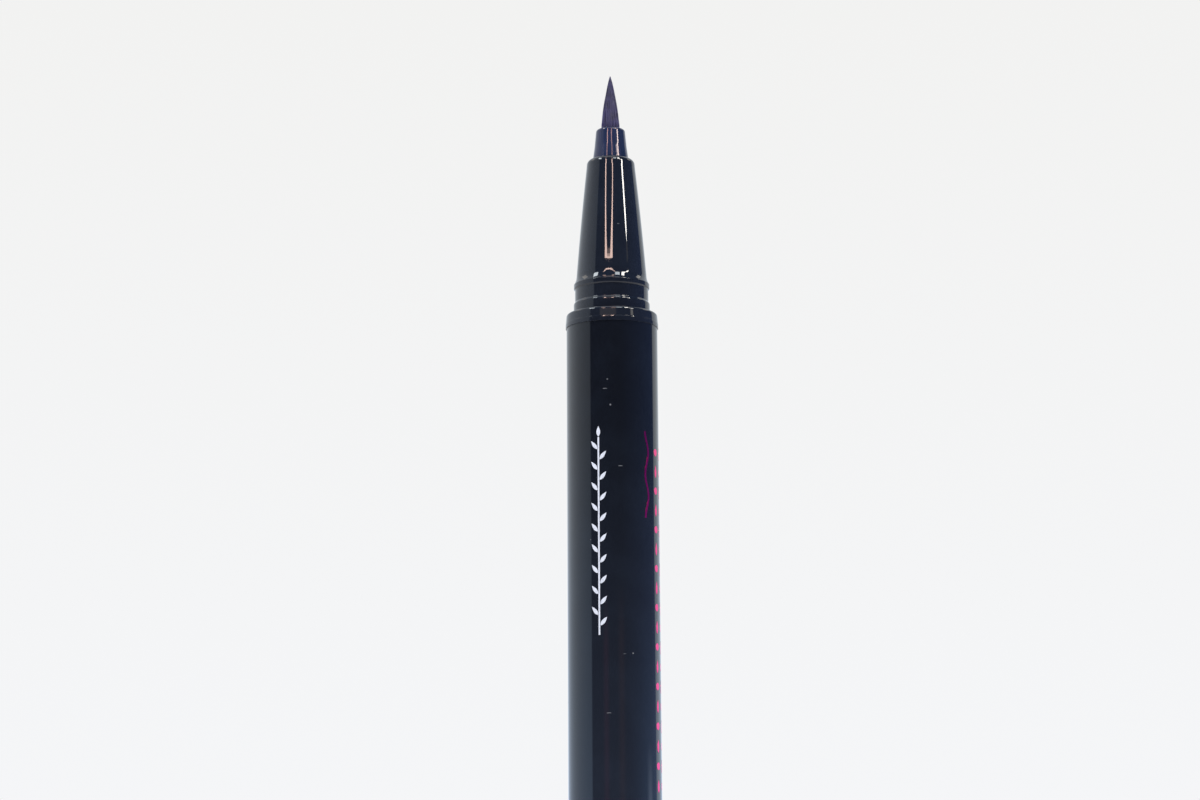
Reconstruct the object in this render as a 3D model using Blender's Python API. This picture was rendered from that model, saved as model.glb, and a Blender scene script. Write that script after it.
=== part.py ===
# Brush-tip liquid eyeliner pen with its cap taken off and stood beside it.
# Metres, +Z up. The pen stands nib up, with the centre of its flat rear face at the origin.
# The barrel is the ink tank. Its front holds a finned collector, and a porous rod feeds the brush.

import math

import bmesh
import bpy
from mathutils import Matrix, Vector

# Fits, shared by every piece
seat_gap = 0.00005  # pressed or seated pieces
running_gap = 0.0001  # pieces that pass or slide in each other
small_round = 0.0001  # moulded edges that were only just broken
overrun = 0.001  # how far a cutter reaches past what it cuts
weld = 0.0000001  # points on the axis that are one point

# Fineness of the round pieces
outer_sides = 36
inner_sides = 18
facet_length = 0.00027  # longest straight step along a rounded edge

# Barrel, which is also the ink tank
barrel_diameter = 0.0100
barrel_wall = 0.0008
barrel_length = 0.09475

# End plug
plug_flange_height = 0.0012
plug_edge_round = 0.00035
plug_spigot_length = 0.0060
plug_rib_count = 3
plug_rib_height = 0.0008
plug_rib_rise = 0.00012

# Front section, from the spigot in the barrel up to the cone
spigot_length = 0.0180
spigot_lead = 0.0003
spigot_wall = 0.0012
chamber_reach = 0.0080  # how far the chamber goes on above the barrel's mouth
chamber_step_height = 0.0012
lip_rise = 0.0001
lip_height = 0.00045
collar_height = 0.00115
collar_round = 0.00055
neck_ring_rise = 0.00019
neck_ring_height = 0.00115
neck_height = 0.00145
bead_rise = 0.00017
bead_height = 0.00045
bead_round = 0.0003
bead_slope_height = 0.0007
cone_foot_step = 0.00011
cone_foot_round = 0.0010
cone_top_radius = 0.00264
cone_top_round = 0.00065
cone_height = 0.01385

# Seal ring in the spigot's groove
seal_section = 0.0005
seal_depth = 0.0100  # from the barrel's mouth down to the ring
seal_section_sides = 8

# Tank partition, pressed into the foot of the spigot
partition_thickness = 0.0014
partition_boss_height = 0.0015

# Feed rod
rod_radius = 0.0008
rod_dip = 0.0080  # how far it reaches into the tank

# Ink collector
collector_core_radius = 0.0018
collector_fin_thickness = 0.0006
collector_fin_pitch = 0.00190
collector_nose_radius = 0.0015
ink_slot_width = 0.0003
air_slot_width = 0.0009

# Nib ferrule and its stem
stem_radius = 0.0017
stem_wall = 0.0003
stem_length = 0.0063
ferrule_foot_radius = 0.00198
ferrule_waist_radius = 0.00173
ferrule_waist_share = 0.42
ferrule_rim_radius = 0.00157
ferrule_rim_round = 0.0003
ferrule_height = 0.00345

# Brush: a fused root with a flange, and bristles that gather to a point
bundle_radius = 0.00102
brush_reach = 0.0063  # how far the bristles stand out of the ferrule
root_flange_height = 0.0011
root_depth = 0.0025  # from the ferrule's foot down to the flange's underside
bristle_recess = 0.0002
bristle_sink = 0.0001
bristle_pitch = 0.000101
bristle_radius = 0.000047
bristle_sides = 3
bristle_end_share = 0.3
gather_share = 0.55
point_power = 1.5
point_fullness = 0.85
point_tolerance_share = 0.0001

# Overflow sponge behind the brush
sponge_length = 0.0036

# Mixing balls
ball_diameter = 0.0030
ball_rings = 10
ball_segments = 16

# Cap, flush with the barrel when it is on
cap_wall = 0.00073
cap_end_thickness = 0.0010
cap_edge_round = 0.0005
cap_sleeve_step = 0.00012
cap_sleeve_margin = 0.0005
cap_ridge_height = 0.0005
cap_rib_height = 0.0009
cap_boss_height = 0.0010
cap_stand_distance = 0.0220

# Inner cap, which seals on the cone
cup_seat_share = 0.34  # how far down the cone it seats, as a share of the cone's taper
cup_wall = 0.0004
cup_floor_thickness = 0.0009
cup_flange_gap = 0.0002
cup_flange_height = 0.0008
cup_pin_height = 0.0014
tip_clearance = 0.0010
seal_press = 0.0012  # how far the seated cap pushes the inner cap back

# Spring between the inner cap and the cap's closed end
spring_space = 0.0077
spring_wire = 0.0004
spring_radius = 0.0025
spring_turns = 6
spring_points_per_turn = 10
spring_bevel_steps = 1

# Radii that follow from the sizes above
barrel_radius = barrel_diameter / 2
bore_radius = barrel_radius - barrel_wall
plug_radius = bore_radius - seat_gap
chamber_radius = plug_radius - spigot_wall
cap_mouth_radius = barrel_radius - cap_wall
cap_bore_radius = cap_mouth_radius - cap_sleeve_step
neck_ring_radius = cap_mouth_radius - seat_gap
neck_radius = neck_ring_radius - neck_ring_rise
bead_radius = neck_radius + bead_rise
cone_foot_radius = neck_radius - cone_foot_step
stem_bore_radius = stem_radius + seat_gap
root_flange_radius = stem_radius - stem_wall - seat_gap
cup_radius = cone_top_radius + (cone_foot_radius - cone_top_radius) * cup_seat_share
cup_outer_radius = cup_radius + cup_wall
cup_flange_radius = cap_bore_radius - cup_flange_gap
ball_radius = ball_diameter / 2

# Heights along the pen, from the rear face up
barrel_bottom = plug_flange_height + seat_gap
barrel_top = barrel_bottom + barrel_length
plug_top = plug_flange_height + plug_spigot_length
spigot_bottom = barrel_top - spigot_length
chamber_top = barrel_top + chamber_reach
step_top = chamber_top + chamber_step_height
collar_bottom = barrel_top + seat_gap
lip_top = collar_bottom + lip_height
shoulder_top = lip_top + collar_height
neck_ring_top = shoulder_top + neck_ring_height
bead_bottom = neck_ring_top + neck_height
bead_crest = bead_bottom + bead_height
cone_foot = bead_crest + bead_slope_height
cone_top = cone_foot + cone_height
partition_top = spigot_bottom - seat_gap
partition_bottom = partition_top - partition_thickness
boss_top = spigot_bottom + partition_boss_height
collector_bottom = boss_top + seat_gap
collector_top = chamber_top - running_gap
ferrule_foot = cone_top + seat_gap
ferrule_rim = ferrule_foot + ferrule_height
stem_bottom = ferrule_foot - stem_length
root_bottom = ferrule_foot - root_depth - root_flange_height
root_shoulder = root_bottom + root_flange_height
backing_top = ferrule_rim - bristle_recess
brush_tip_height = ferrule_rim + brush_reach
rod_bottom = partition_bottom - rod_dip
rod_top = root_bottom - seat_gap
sponge_top = stem_bottom - seat_gap
sponge_bottom = sponge_top - sponge_length
nose_top = sponge_bottom - seat_gap
seal_height = barrel_top - seal_depth

# Heights in the cap, from its closed end up. Seated on the pen, its mouth meets the shoulder.
cup_floor = cap_end_thickness + spring_space + cup_floor_thickness
cap_length = cup_floor + tip_clearance + brush_tip_height - shoulder_top
cup_seat_height = cone_foot + cone_height * (1 - cup_seat_share)
cup_rim = cap_length - (cup_seat_height - shoulder_top) + seal_press
cup_bottom = cap_end_thickness + spring_space
cup_flange_top = cup_bottom + cup_flange_height
cap_rib_bottom = cup_flange_top + running_gap
cap_sleeve_bottom = cap_length - (cone_foot - shoulder_top) - cap_sleeve_margin
cap_ridge_middle = cap_length - (neck_ring_top + bead_bottom) / 2 + shoulder_top


def new_material(name, colour, roughness, metallic=0.0):
    material = bpy.data.materials.new(name)
    material.use_nodes = True
    shader = material.node_tree.nodes["Principled BSDF"]
    shader.inputs["Base Color"].default_value = (*colour, 1.0)
    shader.inputs["Roughness"].default_value = roughness
    shader.inputs["Metallic"].default_value = metallic
    material.diffuse_color = (*colour, 1.0)
    return material


def new_empty(name, location, parent=None):
    empty = bpy.data.objects.new(name, None)
    empty.empty_display_size = barrel_diameter
    empty.location = location
    empty.parent = parent
    bpy.context.scene.collection.objects.link(empty)
    return empty


def new_object(name, data, parent, material=None):
    new = bpy.data.objects.new(name, data)
    new.parent = parent
    if material:
        data.materials.append(material)
    bpy.context.scene.collection.objects.link(new)
    return new


def mesh_object(name, shape, parent, material=None):
    mesh = bpy.data.meshes.new(name)
    shape.to_mesh(mesh)
    shape.free()
    mesh.shade_smooth()
    mesh.set_sharp_from_angle(angle=math.radians(30))
    return new_object(name, mesh, parent, material)


def as_helper(helper):
    helper.hide_render = True
    helper.display_type = "WIRE"
    return helper


def with_arcs(corners):
    # A corner with a third value is rounded to that radius.
    points = []
    for index, corner in enumerate(corners):
        here = Vector(corner[:2])
        radius = corner[2] if len(corner) > 2 else 0
        if not radius:
            points.append(here)
            continue
        to_last = (Vector(corners[index - 1][:2]) - here).normalized()
        to_next = (Vector(corners[(index + 1) % len(corners)][:2]) - here).normalized()
        half_angle = to_last.angle(to_next) / 2
        centre = here + (to_last + to_next).normalized() * radius / math.sin(half_angle)
        start = here + to_last * radius / math.tan(half_angle) - centre
        end = here + to_next * radius / math.tan(half_angle) - centre
        steps = max(1, math.ceil(radius * start.angle(end) / facet_length))
        for step in range(steps + 1):
            points.append(centre + start.slerp(end, step / steps).normalized() * radius)
    return points


def turned(corners, sides, ring=False):
    # Spins an outline of (radius, height) corners about Z. A ring's outline is closed.
    shape = bmesh.new()
    points = [shape.verts.new((radius, 0, height)) for radius, height in with_arcs(corners)]
    edges = [shape.edges.new(pair) for pair in zip(points, points[1:])]
    if ring:
        edges.append(shape.edges.new((points[-1], points[0])))
    bmesh.ops.spin(
        shape,
        geom=points + edges,
        cent=(0, 0, 0),
        axis=(0, 0, 1),
        angle=math.tau,
        steps=sides,
        use_merge=True,
    )
    bmesh.ops.remove_doubles(shape, verts=shape.verts, dist=weld)
    bmesh.ops.recalc_face_normals(shape, faces=shape.faces)
    if shape.calc_volume(signed=True) < 0:
        bmesh.ops.reverse_faces(shape, faces=shape.faces)
    return shape


def boolean(target, name, operation, helper):
    modifier = target.modifiers.new(name, "BOOLEAN")
    modifier.operation = operation
    modifier.solver = "EXACT"
    modifier.object = helper


def make_barrel(pen, material):
    outline = [
        (bore_radius, barrel_bottom),
        (barrel_radius, barrel_bottom, small_round),
        (barrel_radius, barrel_top, small_round),
        (bore_radius, barrel_top),
    ]
    mesh_object("barrel", turned(outline, outer_sides, ring=True), pen, material)


def make_end_plug(pen, material):
    body_radius = plug_radius - plug_rib_rise
    outline = [
        (0, 0),
        (barrel_radius, 0, plug_edge_round),
        (barrel_radius, plug_flange_height, small_round),
        (body_radius, plug_flange_height),
    ]
    free_length = plug_spigot_length - plug_rib_count * plug_rib_height
    spacing = free_length / (plug_rib_count + 1)
    for rib in range(plug_rib_count):
        rib_bottom = plug_flange_height + spacing + rib * (spacing + plug_rib_height)
        outline += [
            (body_radius, rib_bottom),
            (plug_radius, rib_bottom + plug_rib_height / 2),
            (body_radius, rib_bottom + plug_rib_height),
        ]
    outline += [
        (body_radius, plug_top, plug_rib_rise),
        (0, plug_top),
    ]
    mesh_object("end_plug", turned(outline, outer_sides), pen, material)


def make_front_section(pen, material):
    groove_half = seal_section / 2 + running_gap
    groove_radius = plug_radius - seal_section - seat_gap
    outline = [
        (chamber_radius, spigot_bottom),
        (plug_radius, spigot_bottom, spigot_lead),
        (plug_radius, seal_height - groove_half),
        (groove_radius, seal_height - groove_half),
        (groove_radius, seal_height + groove_half),
        (plug_radius, seal_height + groove_half),
        (plug_radius, collar_bottom),
        (barrel_radius + lip_rise, collar_bottom, small_round),
        (barrel_radius + lip_rise, lip_top, small_round),
        (barrel_radius, lip_top),
        (barrel_radius, shoulder_top, collar_round),
        (neck_ring_radius, shoulder_top),
        (neck_ring_radius, neck_ring_top, small_round),
        (neck_radius, neck_ring_top),
        (neck_radius, bead_bottom),
        (bead_radius, bead_crest, bead_round),
        (cone_foot_radius, cone_foot, cone_foot_round),
        (cone_top_radius, cone_top, cone_top_round),
        (stem_bore_radius, cone_top),
        (stem_bore_radius, step_top),
        (chamber_radius, chamber_top),
    ]
    mesh_object("front_section", turned(outline, outer_sides, ring=True), pen, material)


def make_spigot_seal(pen, material):
    section_radius = seal_section / 2
    ring_radius = plug_radius - section_radius
    outline = []
    for side in range(seal_section_sides):
        turn = math.tau * side / seal_section_sides
        outline.append(
            (
                ring_radius + section_radius * math.cos(turn),
                seal_height + section_radius * math.sin(turn),
            )
        )
    mesh_object("spigot_seal", turned(outline, outer_sides, ring=True), pen, material)


def make_tank_partition(pen, material):
    outline = [
        (rod_radius + running_gap, partition_bottom),
        (plug_radius, partition_bottom, small_round),
        (plug_radius, partition_top),
        (chamber_radius - seat_gap, partition_top),
        (chamber_radius - seat_gap, boss_top, small_round),
        (rod_radius + running_gap, boss_top),
    ]
    mesh_object("tank_partition", turned(outline, outer_sides, ring=True), pen, material)


def make_ink_collector(pen, material):
    # The comb keeps as many fins at its pitch as the chamber has room for.
    bore = rod_radius + running_gap
    fin_radius = chamber_radius - running_gap
    length = collector_top - collector_bottom
    fin_count = int((length - collector_fin_thickness) / collector_fin_pitch) + 1
    outline = [(bore, collector_bottom)]
    for fin in range(fin_count):
        fin_bottom = collector_bottom + fin * collector_fin_pitch
        outline += [
            (fin_radius, fin_bottom),
            (fin_radius, fin_bottom + collector_fin_thickness),
            (collector_core_radius, fin_bottom + collector_fin_thickness),
            (collector_core_radius, fin_bottom + collector_fin_pitch),
        ]
    # Above the last fin the core narrows to the nose that carries the sponge.
    outline[-1] = (collector_nose_radius, outline[-2][1])
    outline += [
        (collector_nose_radius, nose_top),
        (bore, nose_top),
    ]
    comb = mesh_object("ink_collector", turned(outline, inner_sides, ring=True), pen, material)
    slots = bmesh.new()
    slot_depth = chamber_radius - collector_core_radius
    for side, width in ((1, ink_slot_width), (-1, air_slot_width)):
        size = Vector((slot_depth, width, length + overrun))
        middle = (collector_bottom + collector_top) / 2
        place = Vector((side * (collector_core_radius + slot_depth / 2 + seat_gap), 0, middle))
        bmesh.ops.create_cube(slots, matrix=Matrix.LocRotScale(place, None, size))
    cutter = as_helper(mesh_object("collector_slots", slots, pen))
    boolean(comb, "Ink slot and air slot", "DIFFERENCE", cutter)


def make_feed_rod(pen, material):
    outline = [
        (0, rod_bottom),
        (rod_radius, rod_bottom, small_round),
        (rod_radius, rod_top, small_round),
        (0, rod_top),
    ]
    mesh_object("feed_rod", turned(outline, inner_sides), pen, material)


def make_overflow_sponge(pen, material):
    outline = [
        (rod_radius + seat_gap, sponge_bottom),
        (stem_bore_radius - running_gap, sponge_bottom, small_round),
        (stem_bore_radius - running_gap, sponge_top, small_round),
        (rod_radius + seat_gap, sponge_top),
    ]
    mesh_object("overflow_sponge", turned(outline, inner_sides, ring=True), pen, material)


def make_nib_ferrule(pen, material):
    waist_height = ferrule_foot + ferrule_height * ferrule_waist_share
    outline = [
        (stem_radius - stem_wall, stem_bottom),
        (stem_radius, stem_bottom, small_round),
        (stem_radius, ferrule_foot),
        (ferrule_foot_radius, ferrule_foot),
        (ferrule_waist_radius, waist_height, ferrule_height),
        (ferrule_rim_radius, ferrule_rim, ferrule_rim_round),
        (bundle_radius + seat_gap, ferrule_rim),
        (bundle_radius + seat_gap, root_shoulder + seat_gap),
        (stem_radius - stem_wall, root_shoulder + seat_gap),
    ]
    mesh_object("nib_ferrule", turned(outline, outer_sides, ring=True), pen, material)


def point_share(height_share):
    # Half width of the brush as a share of the bundle's, from 1 at the base to 0 at the tip.
    return (1 - height_share**point_power) ** point_fullness


def bristle_end(place_share):
    # Height share at which a gathering bristle meets the outside of the point.
    low, high = 0.0, 1.0
    while high - low > point_tolerance_share:
        middle = (low + high) / 2
        inside = place_share * (1 - gather_share * middle) < point_share(middle)
        low, high = (middle, high) if inside else (low, middle)
    return low


def make_brush(pen, material):
    root = [
        (0, root_bottom),
        (root_flange_radius, root_bottom, small_round),
        (root_flange_radius, root_shoulder),
        (bundle_radius, root_shoulder),
        (bundle_radius, backing_top),
        (0, backing_top),
    ]
    brush = mesh_object("brush_tip", turned(root, inner_sides), pen, material)
    length = brush_tip_height - backing_top
    outermost = bundle_radius * math.cos(math.pi / inner_sides) - bristle_radius
    row_pitch = bristle_pitch * math.sin(math.pi / 3)
    rows = math.ceil(bundle_radius / row_pitch)
    bristles = bmesh.new()
    count = 0
    for row in range(-rows, rows + 1):
        for column in range(-rows, rows + 1):
            foot = Vector((bristle_pitch * (column + row % 2 / 2), row_pitch * row, 0))
            if foot.length > outermost:
                continue
            end = bristle_end(foot.length / outermost)
            top = foot * (1 - gather_share * end) + Vector((0, 0, length * end))
            foot.z = -bristle_sink
            along = top - foot
            lean = Vector((0, 0, 1)).rotation_difference(along).to_matrix().to_4x4()
            half_turn = Matrix.Rotation(math.pi * (row % 2), 4, "Z")
            middle = (foot + top) / 2 + Vector((0, 0, backing_top))
            bmesh.ops.create_cone(
                bristles,
                cap_ends=True,
                segments=bristle_sides,
                radius1=bristle_radius,
                radius2=bristle_radius * bristle_end_share,
                depth=along.length,
                matrix=Matrix.Translation(middle) @ lean @ half_turn,
            )
            count += 1
    bundle = as_helper(mesh_object("bristle_bundle", bristles, pen))
    boolean(brush, "Bristles fused to the root", "UNION", bundle)
    print("brush:", count, "bristles")


def make_mixing_balls(pen, material):
    # The balls lie side by side on the end plug, clear of the feed rod all the way up the tank.
    offset = bore_radius - running_gap - ball_radius
    for number, side in enumerate((1, -1), start=1):
        shape = bmesh.new()
        bmesh.ops.create_uvsphere(
            shape, u_segments=ball_segments, v_segments=ball_rings, radius=ball_radius
        )
        ball = mesh_object(f"mixing_ball_{number}", shape, pen, material)
        ball.location = (side * offset, 0, plug_top + seat_gap + ball_radius)
    print("mixing balls: travel", round(partition_bottom - plug_top - 2 * (ball_radius + seat_gap), 6))


def make_cap_shell(cap, material):
    ridge_radius = neck_radius + running_gap
    rib_radius = cup_outer_radius + running_gap
    boss_radius = spring_radius - spring_wire
    sleeve_slope = cap_mouth_radius - cap_bore_radius
    ridge_half = cap_ridge_height / 2
    outline = [
        (0, 0),
        (barrel_radius, 0, cap_edge_round),
        (barrel_radius, cap_length, small_round),
        (cap_mouth_radius, cap_length, small_round),
        (cap_mouth_radius, cap_ridge_middle + ridge_half),
        (ridge_radius, cap_ridge_middle, small_round),
        (cap_mouth_radius, cap_ridge_middle - ridge_half),
        (cap_mouth_radius, cap_sleeve_bottom),
        (cap_bore_radius, cap_sleeve_bottom - sleeve_slope),
        (cap_bore_radius, cap_rib_bottom + 2 * cap_rib_height),
        (rib_radius, cap_rib_bottom + cap_rib_height),
        (rib_radius, cap_rib_bottom),
        (cap_bore_radius, cap_rib_bottom),
        (cap_bore_radius, cap_end_thickness, cap_edge_round),
        (boss_radius, cap_end_thickness),
        (boss_radius, cap_end_thickness + cap_boss_height, small_round),
        (0, cap_end_thickness + cap_boss_height),
    ]
    mesh_object("cap_shell", turned(outline, outer_sides), cap, material)


def make_inner_cap(slide, material):
    # Its flange is caught under the cap's rib, and its pin keeps the spring in the middle.
    pin_radius = spring_radius - spring_wire
    outline = [
        (0, cup_bottom - cup_pin_height),
        (pin_radius, cup_bottom - cup_pin_height, small_round),
        (pin_radius, cup_bottom),
        (cup_flange_radius, cup_bottom, small_round),
        (cup_flange_radius, cup_flange_top, small_round),
        (cup_outer_radius, cup_flange_top),
        (cup_outer_radius, cup_rim, small_round),
        (cup_radius, cup_rim, small_round),
        (cup_radius, cup_floor, cup_wall),
        (0, cup_floor),
    ]
    mesh_object("inner_cap", turned(outline, outer_sides), slide, material)


def make_cap_spring(cap, material):
    wire_radius = spring_wire / 2
    bottom = cap_end_thickness + seat_gap + wire_radius
    top = cup_bottom - seat_gap - wire_radius
    steps = spring_turns * spring_points_per_turn
    points = []
    for step in range(steps + 1):
        turn = math.tau * step / spring_points_per_turn
        height = bottom + (top - bottom) * step / steps
        points.append(
            Vector((spring_radius * math.cos(turn), spring_radius * math.sin(turn), height))
        )
    least = min(
        (points[first] - points[second]).length
        for first in range(steps)
        for second in range(first + spring_points_per_turn // 2, steps + 1)
    )
    print("spring: least gap to itself", round(least - spring_wire, 6))
    curve = bpy.data.curves.new("cap_spring", "CURVE")
    curve.dimensions = "3D"
    curve.bevel_depth = wire_radius
    curve.bevel_resolution = spring_bevel_steps
    curve.use_fill_caps = True
    spline = curve.splines.new("POLY")
    spline.points.add(steps)
    for spline_point, point in zip(spline.points, points):
        spline_point.co = (*point, 1)
    new_object("cap_spring", curve, cap, material)


def main():
    for old in list(bpy.data.objects):
        bpy.data.objects.remove(old)

    black_gloss = new_material("black_gloss_plastic", (0.012, 0.014, 0.022), 0.12)
    ferrule_plastic = new_material("stained_ferrule_plastic", (0.030, 0.026, 0.060), 0.25)
    bristle_fibre = new_material("ink_stained_bristle", (0.020, 0.017, 0.040), 0.55)
    natural_plastic = new_material("natural_plastic", (0.72, 0.72, 0.68), 0.35)
    porous_fibre = new_material("ink_soaked_fibre", (0.05, 0.05, 0.07), 0.85)
    seal_rubber = new_material("seal_rubber", (0.025, 0.025, 0.027), 0.60)
    polished_steel = new_material("polished_steel", (0.62, 0.62, 0.63), 0.18, 1.0)

    pen = new_empty("pen", (0, 0, 0))
    make_end_plug(pen, black_gloss)
    make_barrel(pen, black_gloss)
    make_front_section(pen, black_gloss)
    make_spigot_seal(pen, seal_rubber)
    make_tank_partition(pen, natural_plastic)
    make_ink_collector(pen, natural_plastic)
    make_feed_rod(pen, porous_fibre)
    make_overflow_sponge(pen, porous_fibre)
    make_nib_ferrule(pen, ferrule_plastic)
    make_brush(pen, bristle_fibre)
    make_mixing_balls(pen, polished_steel)

    cap = new_empty("cap", (cap_stand_distance, 0, 0))
    slide = new_empty("inner_cap_slide", (0, 0, 0), cap)
    make_cap_shell(cap, black_gloss)
    make_inner_cap(slide, natural_plastic)
    make_cap_spring(cap, polished_steel)
    print("cap length", round(cap_length, 6), "brush tip height", round(brush_tip_height, 6))


main()
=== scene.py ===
import math
import random

import bmesh
import bpy
from mathutils import Matrix, Vector


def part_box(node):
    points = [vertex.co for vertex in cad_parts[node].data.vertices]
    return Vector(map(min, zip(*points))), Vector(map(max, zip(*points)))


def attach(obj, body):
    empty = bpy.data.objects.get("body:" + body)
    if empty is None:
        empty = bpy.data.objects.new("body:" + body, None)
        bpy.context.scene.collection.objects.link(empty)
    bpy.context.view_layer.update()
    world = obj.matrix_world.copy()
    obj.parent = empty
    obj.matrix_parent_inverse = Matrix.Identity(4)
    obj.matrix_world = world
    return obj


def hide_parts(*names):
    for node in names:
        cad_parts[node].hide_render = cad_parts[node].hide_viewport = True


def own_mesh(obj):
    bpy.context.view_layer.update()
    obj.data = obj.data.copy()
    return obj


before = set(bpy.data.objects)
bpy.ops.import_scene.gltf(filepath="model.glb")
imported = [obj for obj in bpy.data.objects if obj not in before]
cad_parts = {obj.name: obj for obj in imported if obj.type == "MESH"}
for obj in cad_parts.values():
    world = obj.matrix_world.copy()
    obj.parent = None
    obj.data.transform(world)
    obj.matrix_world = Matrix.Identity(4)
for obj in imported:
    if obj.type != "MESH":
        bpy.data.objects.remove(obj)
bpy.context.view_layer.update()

mm = 0.001
scene = bpy.context.scene


def linearColour(hexCode):
    # "#rrggbb" as it looks on screen, to the linear colour that the nodes take
    shares = [int(hexCode[start:start + 2], 16) / 255 for start in (1, 3, 5)]
    return (*[s / 12.92 if s <= 0.04045 else ((s + 0.055) / 1.055) ** 2.4 for s in shares], 1.0)


def heights(node):
    # A CAD node's lowest and highest height, in mm
    low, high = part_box(node)
    return low.z / mm, high.z / mm


def roundedOutline(corners, arcStep=7.5, support=0.04):
    # Corners are (radius, height) or (radius, height, rounding), in mm. Each long straight gets a
    # point close to its ends, so that smooth shading stays flat along it.
    points = []
    count = len(corners)
    for index, corner in enumerate(corners):
        here = Vector(corner[:2])
        rounding = corner[2] if len(corner) > 2 else 0
        if not rounding:
            points.append(here)
            continue
        before = (Vector(corners[index - 1][:2]) - here).normalized()
        after = (Vector(corners[(index + 1) % count][:2]) - here).normalized()
        halfAngle = before.angle(after) / 2
        centre = here + (before + after).normalized() * rounding / math.sin(halfAngle)
        start = here + before * rounding / math.tan(halfAngle) - centre
        sweep = math.pi - 2 * halfAngle
        turnsLeft = start.cross(here - centre) > 0
        steps = max(2, math.ceil(math.degrees(sweep) / arcStep))
        for step in range(steps + 1):
            turn = sweep * step / steps * (1 if turnsLeft else -1)
            points.append(centre + Matrix.Rotation(turn, 2) @ start)
    spaced = []
    for index, point in enumerate(points):
        spaced.append(point)
        along = points[(index + 1) % len(points)] - point
        if along.length > 6 * support:
            spaced.append(point + along.normalized() * support)
            spaced.append(point + along - along.normalized() * support)
    return spaced


def plainTube(bottom, top, bore, outer, edge):
    # The outline of a tube, or of a rod where the bore is 0, with its outer edges rounded
    return [(bore, bottom), (outer, bottom, edge), (outer, top, edge), (bore, top)]


def meshPiece(name, shape, material, sharpAngle=38):
    mesh = bpy.data.meshes.new(name)
    shape.to_mesh(mesh)
    shape.free()
    mesh.shade_smooth()
    mesh.set_sharp_from_angle(angle=math.radians(sharpAngle))
    mesh.materials.append(material)
    piece = bpy.data.objects.new(name, mesh)
    scene.collection.objects.link(piece)
    return piece


def turnedShape(corners, sides=144, closed=True, centre=(0, 0)):
    # Spins an outline round the upright line through the centre, as a lathe would
    shape = bmesh.new()
    outline = roundedOutline(corners)
    verts = [shape.verts.new((max(point.x, 0) * mm, 0, point.y * mm)) for point in outline]
    edges = [shape.edges.new(pair) for pair in zip(verts, verts[1:])]
    if closed:
        edges.append(shape.edges.new((verts[-1], verts[0])))
    bmesh.ops.spin(
        shape, geom=verts + edges, axis=(0, 0, 1), cent=(0, 0, 0), angle=math.tau, steps=sides,
        use_merge=True, use_duplicate=False)
    bmesh.ops.remove_doubles(shape, verts=shape.verts, dist=0.00001 * mm)
    loose = [edge for edge in shape.edges if not edge.link_faces]
    bmesh.ops.delete(shape, geom=loose, context="EDGES")
    bmesh.ops.recalc_face_normals(shape, faces=shape.faces)
    if shape.calc_volume(signed=True) < 0:
        bmesh.ops.reverse_faces(shape, faces=shape.faces)
    bmesh.ops.translate(shape, verts=shape.verts, vec=(centre[0] * mm, centre[1] * mm, 0))
    return shape


def skinRings(shape, rings):
    # Walls from each ring of points to the next, and a face on each end
    count = len(rings[0])
    for lower, upper in zip(rings, rings[1:]):
        for index in range(count):
            following = (index + 1) % count
            shape.faces.new((lower[index], lower[following], upper[following], upper[index]))
    shape.faces.new(rings[-1])
    shape.faces.new(list(reversed(rings[0])))


def addNode(tree, kind, sockets={}, **settings):
    # A socket given a node is linked to its first output in use, one given an output is linked to
    # that, and any other value is set. Every Mix here is of colours.
    node = tree.nodes.new("ShaderNode" + kind)
    if kind == "Mix":
        node.data_type = "RGBA"
    for name, value in settings.items():
        setattr(node, name, value)
    for name, value in sockets.items():
        if isinstance(value, bpy.types.Node):
            value = next(output for output in value.outputs if output.enabled)
        if isinstance(value, bpy.types.NodeSocket):
            tree.links.new(value, node.inputs[name])
        else:
            node.inputs[name].default_value = value
    return node


def newMaterial(name, base):
    # base holds what is the same all over, set on the shader's own sockets
    material = bpy.data.materials.new(name)
    material.use_nodes = True
    shader = material.node_tree.nodes["Principled BSDF"]
    for socket, value in base.items():
        shader.inputs[socket].default_value = value
    material.diffuse_color = (0.5, 0.5, 0.5, 1.0)
    return material, material.node_tree, shader


def dressShader(tree, shader, look, tone, rough, relief):
    # Two colours, a range of roughness and a relief, each led by a pattern. In look, span is the
    # part of its pattern that the roughness follows, and depth is the relief's, in mm.
    first, second = (linearColour(code) for code in look["colours"])
    colour = addNode(tree, "Mix", {0: tone, 6: first, 7: second})
    roughness = addNode(
        tree, "MapRange", ranged(rough, look.get("span", (0, 1)), look["roughness"]))
    bump = addNode(tree, "Bump", {
        "Height": relief, "Strength": look["strength"], "Distance": look["depth"] * mm})
    tree.links.new(colour.outputs[2], shader.inputs["Base Color"])
    tree.links.new(roughness.outputs[0], shader.inputs["Roughness"])
    tree.links.new(bump.outputs[0], shader.inputs["Normal"])


def ranged(value, given=(0, 1), wanted=(0, 1)):
    # A map range's values: value runs over the given span, and the result over the wanted one
    names = ("Value", "From Min", "From Max", "To Min", "To Max")
    return dict(zip(names, (value, *given, *wanted)))


def perMetre(sizeInMm):
    # A texture's scale for a pattern that repeats about every sizeInMm
    return 1 / (sizeInMm * mm)


def streakScale(width, length):
    # A mapping's scale for marks of that width round the pen and that length along it, in mm
    return perMetre(width), 1, perMetre(length)


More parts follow.
